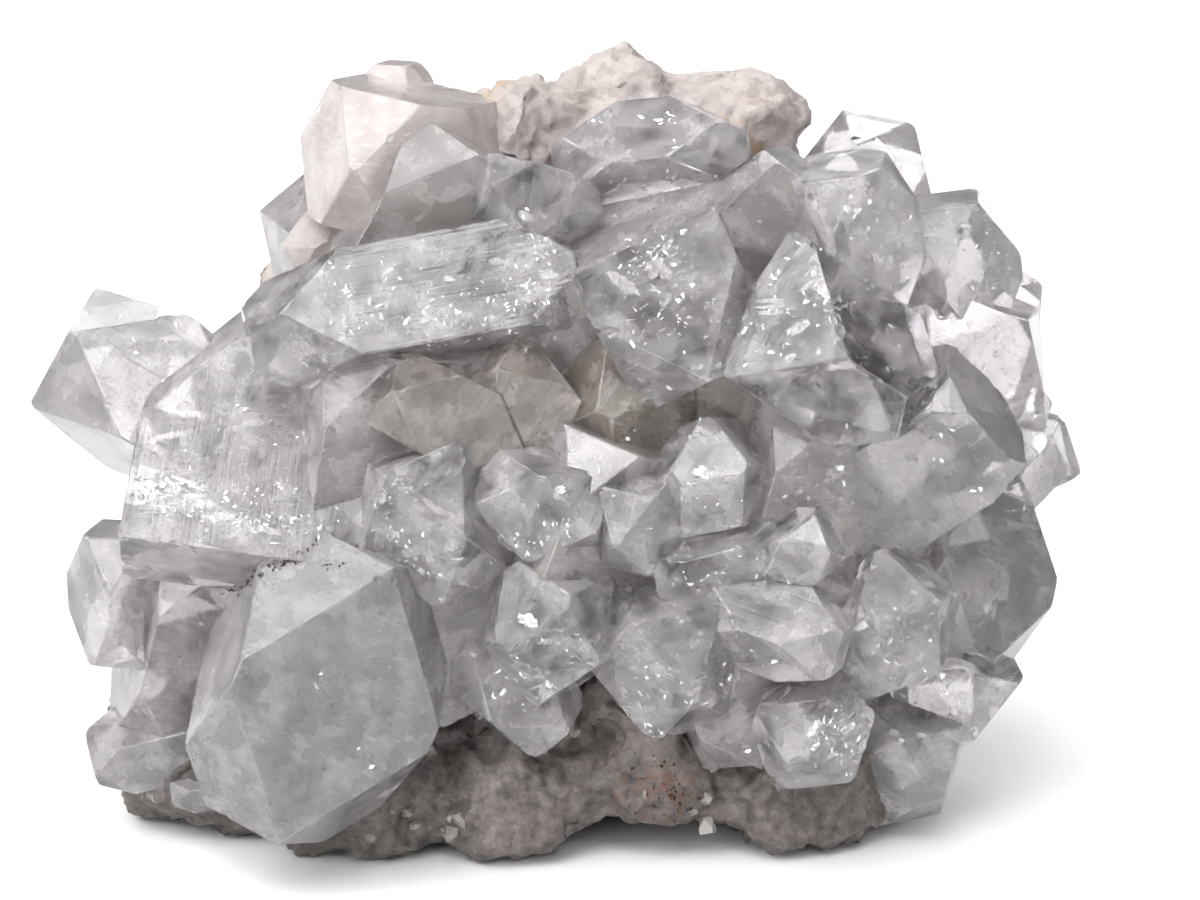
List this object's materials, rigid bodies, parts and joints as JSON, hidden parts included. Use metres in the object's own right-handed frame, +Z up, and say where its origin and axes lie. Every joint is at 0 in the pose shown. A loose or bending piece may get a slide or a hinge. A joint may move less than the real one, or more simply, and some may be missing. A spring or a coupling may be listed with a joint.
{
  "type": "apophyllite crystal cluster",
  "caption": "Cluster of clear, blocky apophyllite crystals grown together on a pale massive matrix that rests on a flat cut face.",
  "frame": {"origin": "middle of the bounding box's underside, on the surface the cluster rests on", "axes": "+X along the cluster's length to its right as seen from the crystals' side, +Y towards the rough back, +Z up; the crystals face -Y"},
  "size_m": [0.1264, 0.0764, 0.0935],
  "materials": {
    "apophyllite": "clear to milky crystal with glassy faces, cleavage veils and pearly glints",
    "host_rock": "massive whitish to beige-brown rock, matt to waxy, with dark specks"
  },
  "bodies": {
    "root": {"crystal_cluster": "apophyllite", "matrix": "host_rock"}
  },
  "joints": []
}
